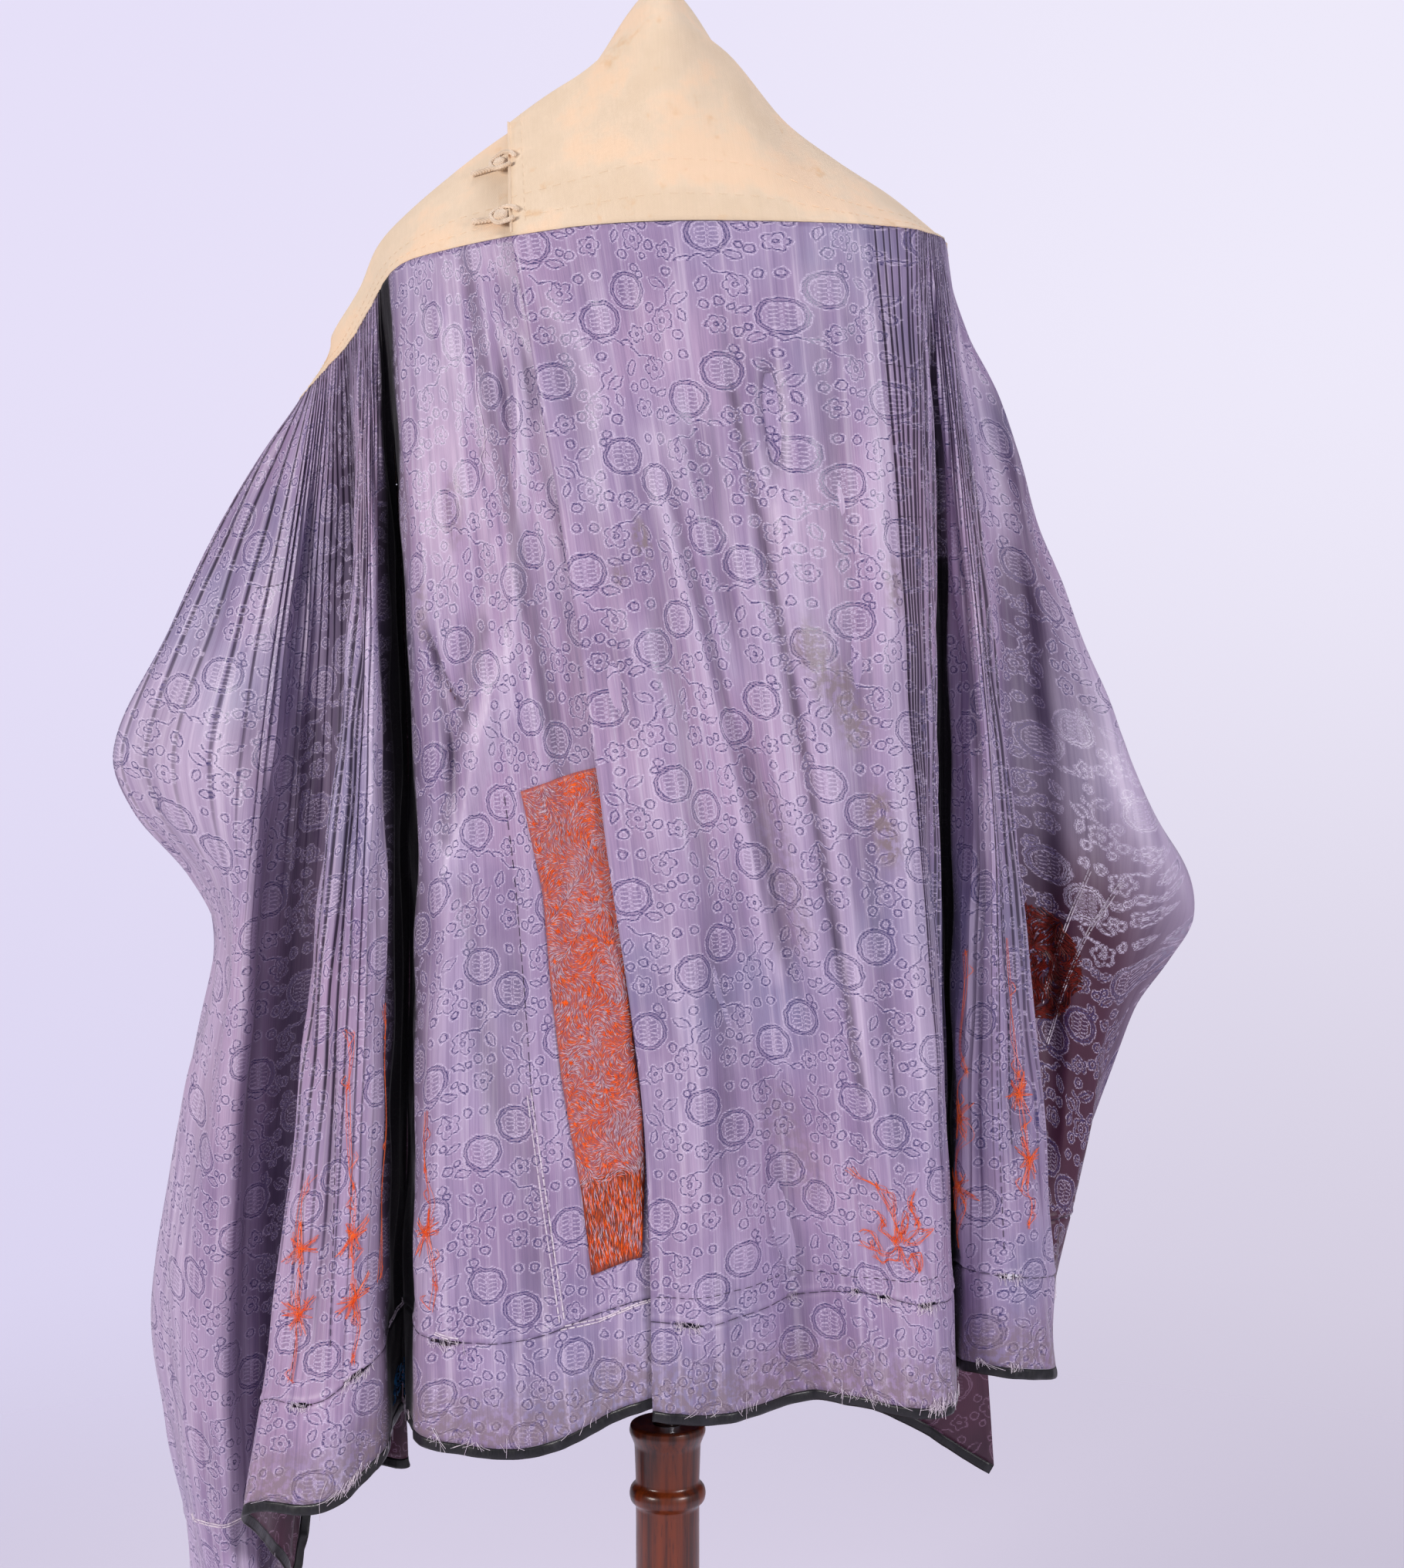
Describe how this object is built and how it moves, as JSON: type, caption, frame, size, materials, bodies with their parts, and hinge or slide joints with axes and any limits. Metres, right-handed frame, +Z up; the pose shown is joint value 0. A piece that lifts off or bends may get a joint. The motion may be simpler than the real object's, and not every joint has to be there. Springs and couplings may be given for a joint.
{
  "type": "chinese pleated wrap skirt on a limbless dress form with a turned stand",
  "caption": "Pleated silk wrap skirt on a buttoned cotton waistband, wrong side out, hung from the shoulders of a limbless dress form on a turned wooden stand.",
  "frame": {"origin": "middle of the round base's underside, on the column's axis", "axes": "+Z up along the column; -Y towards the skirt's buttoned opening; +X to the right of a viewer who faces the opening"},
  "size_m": [0.8, 0.38, 1.528],
  "materials": {
    "silk_damask": "soft sheen, figured weave",
    "waistband_cotton": "matt plain weave",
    "satin_binding": "satin",
    "silk_embroidery": "floss on silk",
    "medallion_silk": "couched thread on silk",
    "form_jersey": "matt knitted cover",
    "varnished_beech": "red-brown varnish",
    "steel": "polished tube"
  },
  "bodies": {
    "root": {"front_right_panel": "silk_damask", "right_pleated_gore": "silk_damask", "right_face_panel": "silk_damask", "front_left_panel": "silk_damask", "left_pleated_lobe": "silk_damask", "left_pleated_gore": "silk_damask", "back_panel": "silk_damask", "front_right_panel_hem_binding": "satin_binding", "right_pleated_gore_hem_binding": "satin_binding", "right_face_panel_hem_binding": "satin_binding", "front_left_panel_hem_binding": "satin_binding", "left_pleated_lobe_hem_binding": "satin_binding", "left_pleated_gore_hem_binding": "satin_binding", "back_panel_hem_binding": "satin_binding", "waistband": "waistband_cotton", "embroidered_strip": "silk_embroidery", "medallion_patch": "medallion_silk", "upper_knot_button": "waistband_cotton", "upper_knot_tail": "waistband_cotton", "upper_knot_loop": "waistband_cotton", "lower_knot_button": "waistband_cotton", "lower_knot_tail": "waistband_cotton", "lower_knot_loop": "waistband_cotton", "dress_form": "form_jersey", "neck_finial": "varnished_beech", "steel_rod": "steel", "turned_column": "varnished_beech", "round_base": "varnished_beech"}
  },
  "joints": []
}
